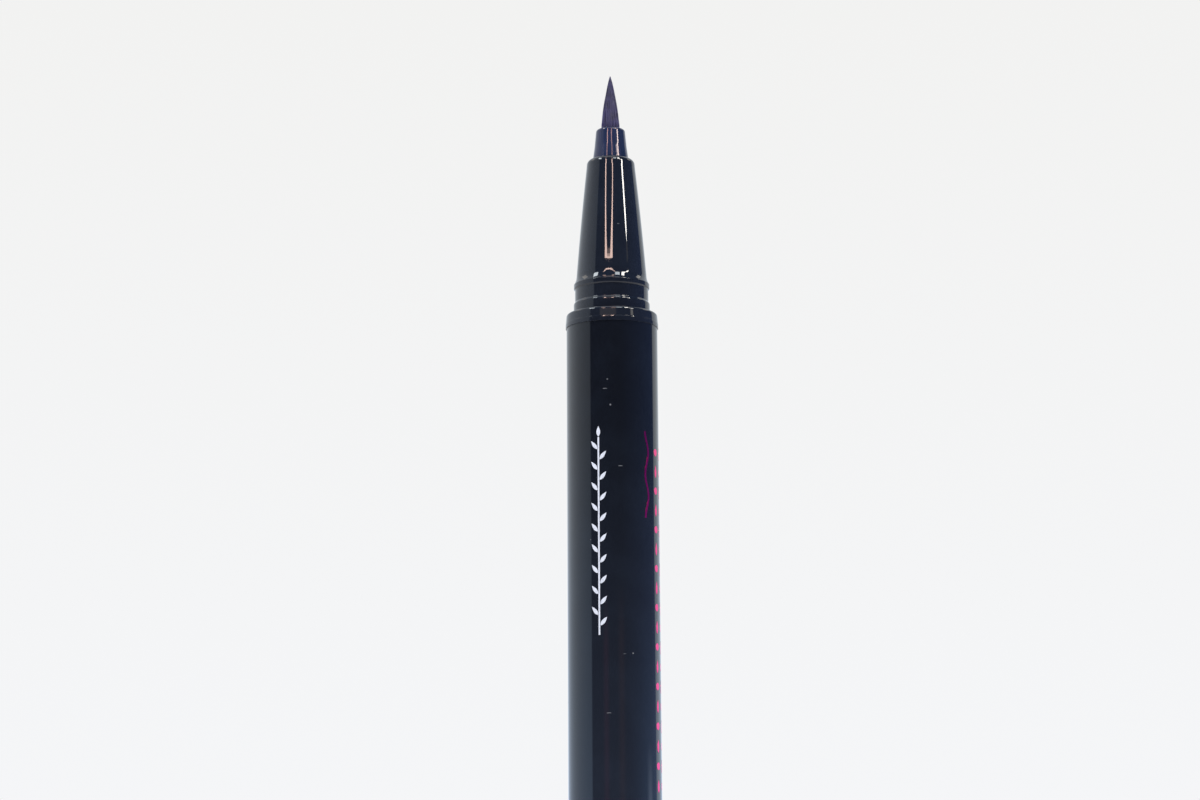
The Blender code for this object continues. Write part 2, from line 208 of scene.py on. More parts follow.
def roundThePen(tree, radius, centre=(0, 0)):
    # Plain coordinates, and ones that lie flat on the round surface: round the pen, then along it
    where = addNode(tree, "TexCoord").outputs["Object"]
    parts = addNode(tree, "SeparateXYZ", {0: where}).outputs
    across = addNode(tree, "Math", {0: parts[0], 1: centre[0] * mm}, operation="SUBTRACT")
    turn = addNode(tree, "Math", {0: across, 1: parts[1]}, operation="ARCTAN2")
    girth = addNode(tree, "Math", {0: turn, 1: radius * mm}, operation="MULTIPLY")
    return where, addNode(tree, "CombineXYZ", {0: girth, 2: parts[2]})


def polishedBlackAbs(name, colours, centre=(0, 0), rubbedBands=()):
    # ABS, injection moulded in a mirror-polished tool: near-black with a navy cast, sharp
    # reflections, and the fine hairlines, finger haze and dust that gloss black always carries
    look = {
        "radius": 5.0, "roughness": (0.008, 0.025), "reliefStrength": 0.3,
        "peelSize": 1.6, "peelDepth": 0.0004,
        "hazeSize": 4.5, "hazeSpan": (0.42, 0.68),
        "hairlines": (0.07, 5.0), "hairlineLean": 0.06, "hairlineSpan": (0.70, 0.76),
        "hairlineDulling": 0.12, "hairlineDepth": 0.00005,
        # A cell has a dot where its random number is above dustFrom. Radii are shares of the pitch.
        "dustColour": "#b9bcc4", "dustPitch": 2.3, "dustFrom": 0.55, "dustRadius": (0.018, 0.045),
        "dustCover": 0.32, "dustDulling": 0.6, "dustStrength": 0.6, "dustDepth": 0.03,
        "lintPitch": 3.6, "lintFrom": 0.93, "lintRadius": 0.07, "lintSlant": 1.25,
        "lintSlimness": 7.0,
        "rubbing": 0.8, "rubDulling": 0.05,
    }
    material, tree, shader = newMaterial(name, {"IOR": 1.52, "Metallic": 0.0})
    where, flat = roundThePen(tree, look["radius"], centre)
    haze = addNode(tree, "TexNoise", {
        "Vector": where, "Scale": perMetre(look["hazeSize"]), "Detail": 5.0, "Roughness": 0.6})
    hazeShare = addNode(
        tree, "MapRange", ranged(haze, look["hazeSpan"]), interpolation_type="SMOOTHSTEP")
    # Hairlines run mostly along the pen: noise squeezed thin round it and drawn long down it
    squeezed = addNode(tree, "Mapping", {
        "Vector": flat, "Rotation": (0, look["hairlineLean"], 0),
        "Scale": streakScale(*look["hairlines"])})
    hairNoise = addNode(tree, "TexNoise", {"Vector": squeezed, "Scale": 1.0, "Detail": 2.0})
    hairlines = addNode(tree, "MapRange", ranged(hairNoise, look["hairlineSpan"]))
    # Dust: a small dot in a few of the cells
    cells = addNode(tree, "TexVoronoi", {
        "Vector": where, "Scale": perMetre(look["dustPitch"]), "Randomness": 1.0})
    chosen = addNode(tree, "SeparateColor", {0: cells.outputs["Color"]}).outputs
    rare = addNode(tree, "Math", {0: chosen[0], 1: look["dustFrom"]}, operation="GREATER_THAN")
    size = addNode(tree, "MapRange", ranged(chosen[1], wanted=look["dustRadius"]))
    near = addNode(tree, "Math", {0: cells, 1: size}, operation="LESS_THAN")
    dots = addNode(tree, "Math", {0: near, 1: rare}, operation="MULTIPLY")
    # Lint: the same, in cells squeezed to short slanting dashes
    slanted = addNode(tree, "Mapping", {
        "Vector": flat, "Rotation": (0, look["lintSlant"], 0),
        "Scale": (1.0, 1.0, look["lintSlimness"])})
    dashes = addNode(tree, "TexVoronoi", {
        "Vector": slanted, "Scale": perMetre(look["lintPitch"]), "Randomness": 1.0})
    picked = addNode(tree, "SeparateColor", {0: dashes.outputs["Color"]})
    few = addNode(tree, "Math", {0: picked, 1: look["lintFrom"]}, operation="GREATER_THAN")
    thin = addNode(tree, "Math", {0: dashes, 1: look["lintRadius"]}, operation="LESS_THAN")
    lint = addNode(tree, "Math", {0: thin, 1: few}, operation="MULTIPLY")
    dust = addNode(tree, "Math", {0: dots, 1: lint}, operation="MAXIMUM")
    clean, hazy = (linearColour(code) for code in colours)
    tinted = addNode(tree, "Mix", {0: hazeShare, 6: clean, 7: hazy})
    cover = addNode(tree, "Math", {0: dust, 1: look["dustCover"]}, operation="MULTIPLY")
    dusty = addNode(tree, "Mix", {0: cover, 6: tinted, 7: linearColour(look["dustColour"])})
    dull = addNode(tree, "MapRange", ranged(hazeShare, wanted=look["roughness"]))
    dulling = [(hairlines, look["hairlineDulling"]), (dust, look["dustDulling"])]
    if rubbedBands:
        # Bands that the cap rubs dull
        rub = 0.0
        height = addNode(tree, "SeparateXYZ", {0: where}).outputs[2]
        for low, high in rubbedBands:
            middle, half = (low + high) / 2 * mm, (high - low) / 2 * mm
            offset = addNode(tree, "Math", {0: height, 1: middle}, operation="SUBTRACT")
            away = addNode(tree, "Math", {0: offset}, operation="ABSOLUTE")
            band = addNode(
                tree, "MapRange", ranged(away, (half, 0), (0, look["rubbing"])),
                interpolation_type="SMOOTHSTEP")
            rub = addNode(tree, "Math", {0: rub, 1: band}, operation="MAXIMUM")
        dulling.append((rub, look["rubDulling"]))
    for marks, amount in dulling:
        dull = addNode(tree, "Math", {0: marks, 1: amount, 2: dull}, operation="MULTIPLY_ADD")
    # The slight orange peel of a moulding, then the hairlines cut into it and the dust on it
    peel = addNode(tree, "TexNoise", {
        "Vector": where, "Scale": perMetre(look["peelSize"]), "Detail": 1.0})
    bump = addNode(tree, "Bump", {
        "Height": peel, "Strength": look["reliefStrength"], "Distance": look["peelDepth"] * mm})
    bump = addNode(tree, "Bump", {
        "Height": hairlines, "Strength": look["reliefStrength"],
        "Distance": look["hairlineDepth"] * mm, "Normal": bump}, invert=True)
    bump = addNode(tree, "Bump", {
        "Height": dust, "Strength": look["dustStrength"], "Distance": look["dustDepth"] * mm,
        "Normal": bump})
    tree.links.new(dusty.outputs[2], shader.inputs["Base Color"])
    tree.links.new(dull.outputs[0], shader.inputs["Roughness"])
    tree.links.new(bump.outputs[0], shader.inputs["Normal"])
    return material


def streaked(tree, radius, size, detail, roughness=0.5):
    # Plain coordinates, and streaks along a pen part of that radius, sized (width, length) in mm
    where, flat = roundThePen(tree, radius)
    squeezed = addNode(tree, "Mapping", {"Vector": flat, "Scale": streakScale(*size)})
    return where, addNode(tree, "TexNoise", {
        "Vector": squeezed, "Scale": 1.0, "Detail": detail, "Roughness": roughness})


def inkStainedPolypropylene():
    # Polypropylene, moulded thin: the ink inside shows through as dark violet with long streaks
    look = {
        "colours": ("#1a2a45", "#2f3556"), "streaks": (0.16, 2.2), "streakSpan": (0.35, 0.68),
        "speckSize": 0.12, "span": (0.3, 0.7), "roughness": (0.07, 0.12),
        "strength": 0.5, "depth": 0.0003,
    }
    base = {"IOR": 1.49, "Specular Tint": (1.0, 0.80, 0.76, 1.0)}
    material, tree, shader = newMaterial("inkStainedPolypropylene", base)
    where, streaks = streaked(tree, 1.8, look["streaks"], detail=4.0, roughness=0.65)
    share = addNode(tree, "MapRange", ranged(streaks, look["streakSpan"]))
    specks = addNode(tree, "TexNoise", {
        "Vector": where, "Scale": perMetre(look["speckSize"]), "Detail": 3.0})
    dressShader(tree, shader, look, share, specks, streaks)
    return material


def inkedNylonBristle():
    # Nylon filament, drawn and tapered, wet with ink: soft violet-black with fine paler fibres
    look = {
        "colours": ("#262250", "#4d487c"), "fibres": (0.05, 1.6), "fibreWeight": 0.65,
        "blotSize": 0.9, "drySpan": (0.62, 1.02), "roughness": (0.38, 0.62),
        "strength": 0.4, "depth": 0.008,
    }
    base = {"IOR": 1.53, "Sheen Weight": 0.05, "Sheen Roughness": 0.4}
    material, tree, shader = newMaterial("inkedNylonBristle", base)
    where, fibres = streaked(tree, 0.8, look["fibres"], detail=3.0)
    blots = addNode(tree, "TexNoise", {
        "Vector": where, "Scale": perMetre(look["blotSize"]), "Detail": 2.0})
    weight = look["fibreWeight"]
    both = addNode(tree, "Math", {0: fibres, 1: weight, 2: blots}, operation="MULTIPLY_ADD")
    share = addNode(tree, "MapRange", ranged(both, look["drySpan"]))
    dressShader(tree, shader, look, share, share, fibres)
    return material


def bondedPolyesterFibre():
    # Polyester fibre, bonded in a bundle and soaked with ink: matt, streaked along, open pores
    look = {
        "colours": ("#1f1f2b", "#3c3b4a"), "fibres": (0.06, 1.2), "poreSize": 0.14,
        "roughness": (0.75, 0.95), "strength": 0.5, "depth": 0.03,
    }
    material, tree, shader = newMaterial("bondedPolyesterFibre", {"IOR": 1.55})
    where, fibres = streaked(tree, 1.0, look["fibres"], detail=3.0)
    pores = addNode(tree, "TexVoronoi", {"Vector": where, "Scale": perMetre(look["poreSize"])})
    dressShader(tree, shader, look, fibres, pores, pores)
    return material


def cloudedFinish(name, base, look):
    # Broad clouds lead the colour and fine grain the relief, each given as its size in mm and its
    # detail. Grain leads the roughness too where look has a span for it.
    material, tree, shader = newMaterial(name, base)
    where = addNode(tree, "TexCoord").outputs["Object"]
    clouds, grain = (
        addNode(tree, "TexNoise", {"Vector": where, "Scale": perMetre(size), "Detail": detail})
        for size, detail in (look["clouds"], look["grain"]))
    dressShader(tree, shader, look, clouds, grain if "span" in look else clouds, grain)
    return material


def naturalPolyethylene():
    # Polyethylene, moulded without pigment: milky, waxy, a little light goes into it
    base = {"IOR": 1.51, "Subsurface Weight": 0.25, "Subsurface Scale": 0.4 * mm}
    return cloudedFinish("naturalPolyethylene", base, {
        "colours": ("#d6d6cc", "#b9bab6"), "clouds": (2.5, 3.0), "grain": (0.25, 2.0),
        "span": (0.3, 0.7), "roughness": (0.30, 0.48), "strength": 0.3, "depth": 0.01,
    })


def mouldedNitrileRubber():
    # Nitrile rubber, compression moulded: soft black with a faint bloom
    return cloudedFinish("mouldedNitrileRubber", {"IOR": 1.52}, {
        "colours": ("#232325", "#38383a"), "clouds": (0.8, 4.0), "grain": (0.1, 2.0),
        "roughness": (0.5, 0.75), "strength": 0.3, "depth": 0.006,
    })


def stainlessSteel(name, roughness, markSize):
    # Stainless steel: lapped to a mirror for the balls, drawn with fine lines for the wire
    return cloudedFinish(name, {"Metallic": 1.0}, {
        "colours": ("#c3c2be", "#d6d6d4"), "clouds": (1.2, 3.0), "grain": (markSize, 3.0),
        "span": (0.3, 0.7), "roughness": (roughness, roughness + 0.14),
        "strength": 0.2, "depth": 0.003,
    })


def padPrintInk():
    # Pad-printed ink: opaque and satin, a little thinner where the pad lifted first
    look = {
        "colours": ("#e4e8f6", "#bcc2d6"), "coverSize": 0.35, "thinSpan": (0.5, 0.8),
        "roughness": (0.32, 0.5), "strength": 0.3, "depth": 0.004,
    }
    material, tree, shader = newMaterial("whitePadPrint", {"IOR": 1.5})
    where = addNode(tree, "TexCoord").outputs["Object"]
    cover = addNode(tree, "TexNoise", {
        "Vector": where, "Scale": perMetre(look["coverSize"]), "Detail": 5.0, "Roughness": 0.7})
    share = addNode(tree, "MapRange", ranged(cover, look["thinSpan"]))
    dressShader(tree, shader, look, share, cover, cover)
    return material


def hotStampedFoil():
    # Metal foil under a magenta lacquer, hot stamped: hot pink where it mirrors a lamp or a pale
    # wall and deep maroon where it mirrors the dark, with small pinholes and a slight crinkle
    look = {
        "colours": ("#fa2c80", "#c01f62"), "pinholeSize": 0.12, "pinholeSpan": (0.56, 0.72),
        "crinkleSize": 0.7, "span": (0.3, 0.7), "roughness": (0.05, 0.14),
        "strength": 0.3, "depth": 0.003,
    }
    material, tree, shader = newMaterial("hotStampedPinkFoil", {"Metallic": 1.0})
    where = addNode(tree, "TexCoord").outputs["Object"]
    crinkle, pinholes = (
        addNode(tree, "TexNoise", {"Vector": where, "Scale": perMetre(size), "Detail": 3.0})
        for size in (look["crinkleSize"], look["pinholeSize"]))
    share = addNode(tree, "MapRange", ranged(pinholes, look["pinholeSpan"]))
    dressShader(tree, shader, look, share, crinkle, crinkle)
    return material


capCentre = (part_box("cap_shell")[0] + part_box("cap_shell")[1]) / 2 / mm
barrelBlack = polishedBlackAbs("polishedBlackAbsBarrel", ("#14171f", "#171b24"))
# The front section comes from another tool and batch, and is a shade paler
frontBlack = polishedBlackAbs(
    "polishedBlackAbsFront", ("#1b1f29", "#1e232e"), rubbedBands=((97.8, 98.7), (100.3, 101.1)))
capBlack = polishedBlackAbs("polishedBlackAbsCap", ("#14171f", "#171b24"), capCentre[:2])
ferrulePlastic = inkStainedPolypropylene()
bristleNylon = inkedNylonBristle()
milkyPlastic = naturalPolyethylene()
soakedFibre = bondedPolyesterFibre()
sealRubber = mouldedNitrileRubber()
lappedSteel = stainlessSteel("lappedStainlessSteel", 0.06, 0.4)
drawnSteel = stainlessSteel("drawnStainlessWire", 0.2, 0.08)
whiteInk = padPrintInk()
pinkFoil = hotStampedFoil()
print("materials made")


def makeBarrel():
    bottom, top = heights("barrel")
    tube = {"bore": 4.2, "outer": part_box("barrel")[1].x / mm, "edge": 0.005}
    shape = turnedShape(plainTube(bottom, top, **tube), sides=180)
    piece = meshPiece("barrelTube", shape, barrelBlack)
    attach(piece, "pen")
    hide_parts("barrel")


def makeFrontSection():
    spigotBottom, coneTop = heights("front_section")
    front = {
        "spigot": 4.15, "spigotBore": 2.95,
        "grooveRadius": 3.65, "grooveHeight": 86.0, "grooveHalf": 0.3,
        "collarGap": 0.006, "lipTop": 96.46, "shoulderTop": 97.61,
        "ring": 4.20, "ringTop": 98.8, "neck": 4.05, "neckTop": 100.36,
        "beadRounding": 0.08, "beadSlope": 0.06,
        # The end and the flare are in degrees, and the flare grows over the first flareShare
        "filletFoot": 101.02, "filletTop": 102.19, "filletEnd": 30, "filletSteps": 36,
        "flare": 0.30, "flareShare": 0.15, "curlFrom": 0.28, "curlPower": 1.15,
        "coneTip": 2.60, "coneGain": 1.53, "coneSwell": 0.22, "coneRun": 13.85,
        "socket": 1.75, "chamberTop": 104.0,
    }

    def coneRadius(height):
        # The cone swells a little: steeper near the nib than near the bead
        share = (coneTop - height) / front["coneRun"]
        return front["coneTip"] + front["coneGain"] * share - front["coneSwell"] * share ** 2

    # From the cone a slight flare first, and then the fillet curls out to the bead's crest
    share = (coneTop - front["filletTop"]) / front["coneRun"]
    slope = (front["coneGain"] - 2 * front["coneSwell"] * share) / front["coneRun"]
    lean = math.degrees(math.atan(slope))
    end = math.radians(front["filletEnd"])
    steps = front["filletSteps"]
    drop = (front["filletTop"] - front["filletFoot"]) / steps
    foot = [Vector((coneRadius(front["filletTop"]), front["filletTop"]))]
    for step in range(steps):
        share = (step + 0.5) / steps
        flare = front["flare"] * min(1, share / front["flareShare"])
        curled = max(0, share - front["curlFrom"]) / (1 - front["curlFrom"])
        curl = (front["filletEnd"] - lean - front["flare"]) * curled ** front["curlPower"]
        turned = math.radians(lean + flare + curl)
        foot.append(foot[-1] + drop * Vector((math.tan(turned), -1)))
    foot.append(foot[-1] + front["beadSlope"] * Vector((math.tan(end), -1)))
    bead = foot[-1] - front["beadRounding"] * Vector((math.cos(end), math.sin(end)))
    crest = []
    for step in range(1, 9):
        turn = end * (1 - step / 8)
        crest.append(bead + front["beadRounding"] * Vector((math.cos(turn), math.sin(turn))))
    cone = [
        Vector((coneRadius(front["filletTop"] + above), front["filletTop"] + above))
        for above in (0.04, *(0.5 * step for step in range(1, 25)))
    ]
    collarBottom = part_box("barrel")[1].z / mm + front["collarGap"]
    outline = [
        (front["spigotBore"], spigotBottom),
        (front["spigot"], spigotBottom, 0.3),
        (front["spigot"], front["grooveHeight"] - front["grooveHalf"]),
        (front["grooveRadius"], front["grooveHeight"] - front["grooveHalf"]),
        (front["grooveRadius"], front["grooveHeight"] + front["grooveHalf"]),
        (front["spigot"], front["grooveHeight"] + front["grooveHalf"]),
        (front["spigot"], collarBottom),
        # The lip has a fine bevel and a hair of a step above it, which catch the lamps
        (5.095, collarBottom, 0.005),
        (5.1000, front["lipTop"] - 0.08, 0.01),
        (5.0874, front["lipTop"] + 0.05, 0.03),
        (5.0782, front["lipTop"] + 0.066, 0.002),
        (4.990, front["shoulderTop"], 0.30),
        (front["ring"], front["shoulderTop"]),
        (front["ring"], front["ringTop"] - 0.20, 0.01),
        (4.1859, front["ringTop"] - 0.05, 0.20),
        (front["neck"], front["ringTop"] + 0.16, 0.15),
        (front["neck"], front["neckTop"]),
        (crest[-1].x - 0.12, front["neckTop"], 0.02),
        (crest[-1].x, front["neckTop"] + 0.13, 0.06),
        *[tuple(point) for point in reversed(foot[1:] + crest)],
        *[tuple(point) for point in cone],
        (2.62, coneTop, 0.60),
        (front["socket"], coneTop),
        (front["socket"], front["chamberTop"] + 1.2),
        (front["spigotBore"], front["chamberTop"]),
    ]
    piece = meshPiece("frontSection", turnedShape(outline, sides=180), frontBlack)
    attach(piece, "pen")
    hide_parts("front_section")


def makeFerrule():
    stemBottom, rim = heights("nib_ferrule")
    ferrule = {"foot": 115.3, "stem": 1.7, "stemBore": 1.40, "bore": 1.07, "boreFrom": 112.85}
    outline = [
        (ferrule["stemBore"], stemBottom),
        (ferrule["stem"], stemBottom, 0.1),
        (ferrule["stem"], ferrule["foot"]),
        (1.99, ferrule["foot"]),
        (1.79, ferrule["foot"] + 1.45, 3.4),
        (1.60, rim, 0.3),
        (ferrule["bore"], rim, 0.05),
        (ferrule["bore"], ferrule["boreFrom"]),
        (ferrule["stemBore"], ferrule["boreFrom"]),
    ]
    shape = turnedShape(outline, sides=128)
    piece = meshPiece("nibFerrule", shape, ferrulePlastic)
    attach(piece, "pen")
    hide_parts("nib_ferrule")


def makeBrush():
    rootBottom, tip = heights("brush_tip")
    brush = {
        "seed": 7, "hairs": 620, "hairRings": 11, "hairSides": 5, "hairRadius": 0.034,
        "scatter": 0.05, "taper": 0.75, "waviness": 0.05,
        # Hairs within this share of the radius reach the point
        "fullReach": 0.2, "shortest": 0.55, "shortPower": 2.2,
        "rootRadius": 1.35, "rootLength": 1.1, "backing": 1.00, "backingTop": 118.3, "sunk": 0.15,
        # height and half width of the wet bundle
        "shape": (
            (118.3, 1.00), (118.75, 1.04), (119.3, 1.03), (119.65, 0.985), (120.35, 0.915),
            (121.05, 0.84), (121.75, 0.735), (122.46, 0.61), (123.16, 0.48), (123.86, 0.345),
            (124.4, 0.22), (124.8, 0.11), (125.05, 0.02),
        ),
    }
    widest = max(half for height, half in brush["shape"])

    def halfWidth(height):
        for (lowZ, lowR), (highZ, highR) in zip(brush["shape"], brush["shape"][1:]):
            if height <= highZ:
                return lowR + (highR - lowR) * max(0, height - lowZ) / (highZ - lowZ)
        return brush["shape"][-1][1]

    chance = random.Random(brush["seed"])
    shape = turnedShape([
        (0, rootBottom),
        (brush["rootRadius"], rootBottom, 0.1),
        (brush["rootRadius"], rootBottom + brush["rootLength"]),
        (brush["backing"], rootBottom + brush["rootLength"]),
        (brush["backing"], brush["backingTop"]),
        (0, brush["backingTop"]),
    ], sides=64, closed=False)
    golden = math.pi * (3 - math.sqrt(5))
    start = brush["backingTop"] - brush["sunk"]
    for hair in range(brush["hairs"]):
        share = math.sqrt((hair + 0.5) / brush["hairs"])
        turn = hair * golden + chance.uniform(-brush["scatter"], brush["scatter"])
        # Inner hairs reach the point, and the outer ones stop where the point has narrowed
        reach = 1
        if share >= brush["fullReach"]:
            reach -= chance.random() ** brush["shortPower"] * brush["shortest"] * share
        end = start + (tip - start) * reach
        wave = chance.uniform(0, math.tau)
        rings = []
        for ring in range(brush["hairRings"] + 1):
            along = ring / brush["hairRings"]
            height = start + (end - start) * along
            room = halfWidth(height)
            thick = brush["hairRadius"] * (1 - brush["taper"] * along ** 2.5)
            thick *= 0.35 + 0.65 * room / widest
            place = max(0, room - thick) * share
            lean = turn + brush["waviness"] * math.sin(wave + along * 4)
            middle = Vector((place * math.cos(lean), place * math.sin(lean), height))
            sides = (math.tau * side / brush["hairSides"] for side in range(brush["hairSides"]))
            rings.append([
                shape.verts.new((middle + thick * Vector((math.cos(a), math.sin(a), 0))) * mm)
                for a in sides
            ])
        skinRings(shape, rings)
    piece = meshPiece("brushBristles", shape, bristleNylon, sharpAngle=80)
    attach(piece, "pen")
    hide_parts("brush_tip")


def makeEndPlug():
    top = heights("end_plug")[1]
    plug = {"radius": 5.0, "flange": 1.2, "body": 4.03, "rib": 4.15, "ribHeight": 0.8, "ribs": 3}
    outline = [
        (0, 0),
        (4.2, 0),
        (4.3, 0.12),
        (plug["radius"], 0.12, 0.3),
        (plug["radius"], plug["flange"], 0.1),
        (plug["body"], plug["flange"]),
    ]
    room = top - plug["flange"] - plug["ribs"] * plug["ribHeight"]
    spacing = room / (plug["ribs"] + 1)
    for rib in range(plug["ribs"]):
        ribBottom = plug["flange"] + spacing + rib * (spacing + plug["ribHeight"])
        outline += [
            (plug["body"], ribBottom),
            (plug["rib"], ribBottom + plug["ribHeight"] / 2, 0.1),
            (plug["body"], ribBottom + plug["ribHeight"]),
        ]
    outline += [(plug["body"], top, 0.3), (0, top)]
    shape = turnedShape(outline, sides=180, closed=False)
    piece = meshPiece("endPlug", shape, barrelBlack)
    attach(piece, "pen")
    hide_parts("end_plug")


makeBarrel()
makeFrontSection()
makeFerrule()
makeBrush()
makeEndPlug()
print("pen body made")


def makeInnerPieces():
    bottom, top = heights("feed_rod")
    rod = {"bore": 0, "outer": 0.8, "edge": 0.1}
    shape = turnedShape(plainTube(bottom, top, **rod), sides=48, closed=False)
    piece = meshPiece("fibreRod", shape, soakedFibre)
    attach(piece, "pen")
    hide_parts("feed_rod")
    bottom, top = heights("overflow_sponge")
    sponge = {"bore": 0.85, "outer": 1.65, "edge": 0.15}
    shape = turnedShape(plainTube(bottom, top, **sponge), sides=64)
    piece = meshPiece("overflowSponge", shape, soakedFibre)
    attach(piece, "pen")
    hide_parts("overflow_sponge")
    seal = {"section": 0.25, "ring": 3.9, "height": 86.0, "sides": 20}
    outline = []
    for side in range(seal["sides"]):
        turn = math.tau * side / seal["sides"]
        outward, upward = seal["section"] * math.cos(turn), seal["section"] * math.sin(turn)
        outline.append((seal["ring"] + outward, seal["height"] + upward))
    piece = meshPiece("sealRing", turnedShape(outline, sides=96), sealRubber)
    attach(piece, "pen")
    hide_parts("spigot_seal")
    for node, material in (
        ("ink_collector", milkyPlastic),
        ("tank_partition", milkyPlastic),
        ("mixing_ball_1", lappedSteel),
        ("mixing_ball_2", lappedSteel),
    ):
        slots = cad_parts[node].data.materials
        for index in range(len(slots)):
            slots[index] = material


makeInnerPieces()
print("inner pieces made")


def printedPiece(name, motifs, middleTurn, material):
    # Each motif is a flat outline in mm, round and along the barrel, laid on it as a thin film
    radius, film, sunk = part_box("barrel")[1].x / mm, 0.012, 0.03
    shape = bmesh.new()
    for motif in motifs:
        top, bottom = [], []
        for across, height in motif:
            turn = math.radians(middleTurn) + across / radius
            for ring, depth in ((top, film), (bottom, -sunk)):
                reach = (radius + depth) * mm
                place = (reach * math.sin(turn), -reach * math.cos(turn), height * mm)
                ring.append(shape.verts.new(place))
        skinRings(shape, [bottom, top])
    bmesh.ops.recalc_face_normals(shape, faces=shape.faces)
    piece = meshPiece(name, shape, material, sharpAngle=30)
    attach(piece, "pen")


def leaf(footX, footZ, lean, length, width, steps=9):
    # A slim pointed leaf, leaning from straight up by so many degrees
    along = Vector((math.sin(math.radians(lean)), math.cos(math.radians(lean))))
    aside = Vector((along.y, -along.x))
    edge = []
    for step in range(steps + 1):
        share = step / steps
        edge.append((share * length, width / 2 * math.sin(math.pi * share ** 0.8)))
    foot = Vector((footX, footZ))
    right = [foot + along * far + aside * half for far, half in edge]
    left = [foot + along * far - aside * half for far, half in edge[1:-1]]
    return [tuple(point) for point in right + left[::-1]]


def disc(middleX, middleZ, radius, steps=20):
    turns = [math.tau * step / steps for step in range(steps)]
    return [(middleX + radius * math.cos(a), middleZ + radius * math.sin(a)) for a in turns]


def makePrinting():
    sprig = {
        "turn": -18.0, "bottom": 62.0, "top": 84.4, "pairs": 9, "stem": 0.09,
        "leafLean": 38, "leafSize": (1.15, 0.40), "tipSize": (1.15, 0.42),
    }
    stem, stemTop = sprig["stem"], sprig["top"] - 1.2
    motifs = [[
        (-stem, sprig["bottom"]), (stem, sprig["bottom"]), (stem, stemTop), (-stem, stemTop)]]
    pitch = (sprig["top"] - sprig["bottom"] - 2.4) / sprig["pairs"]
    for pair in range(sprig["pairs"]):
        foot = sprig["bottom"] + 1.0 + pair * pitch
        motifs.append(leaf(stem + 0.04, foot, sprig["leafLean"], *sprig["leafSize"]))
        motifs.append(
            leaf(-stem - 0.04, foot + pitch / 2, -sprig["leafLean"], *sprig["leafSize"]))
    motifs.append(leaf(0, sprig["top"] - 1.15, 0, *sprig["tipSize"]))
    printedPiece("printedSprig", motifs, sprig["turn"], whiteInk)
    band = {
        "turn": 68.0, "bottom": 42.0, "top": 84.0,
        "pitch": 2.1, "columns": (-0.1, 1.3), "dotRadius": 0.40, "dashSize": (1.4, 0.5),
        "waveAt": -1.85, "waveBottom": 74.6, "waveReach": 0.24, "waveLength": 4.7,
        "waveWidth": 0.26, "waveSteps": 40,
    }
    motifs = []
    dashLength = band["dashSize"][0]
    for row in range(int((band["top"] - band["bottom"]) / band["pitch"])):
        height = band["bottom"] + row * band["pitch"]
        dash, dot = band["columns"] if row % 2 == 0 else band["columns"][::-1]
        motifs.append(disc(dot, height, band["dotRadius"]))
        motifs.append(leaf(dash, height - dashLength / 2, 0, *band["dashSize"]))
    # A wavy line beside the top of the band
    line = []
    for step in range(band["waveSteps"] + 1):
        above = (band["top"] - band["waveBottom"]) * step / band["waveSteps"]
        swing = band["waveReach"] * math.cos(math.tau * above / band["waveLength"])
        line.append((band["waveAt"] - swing, band["waveBottom"] + above))
    half = band["waveWidth"] / 2
    for (before, low), (after, high) in zip(line, line[1:]):
        motifs.append([
            (before - half, low), (before + half, low), (after + half, high), (after - half, high)])
    printedPiece("printedBand", motifs, band["turn"], pinkFoil)


makePrinting()
print("printing made")


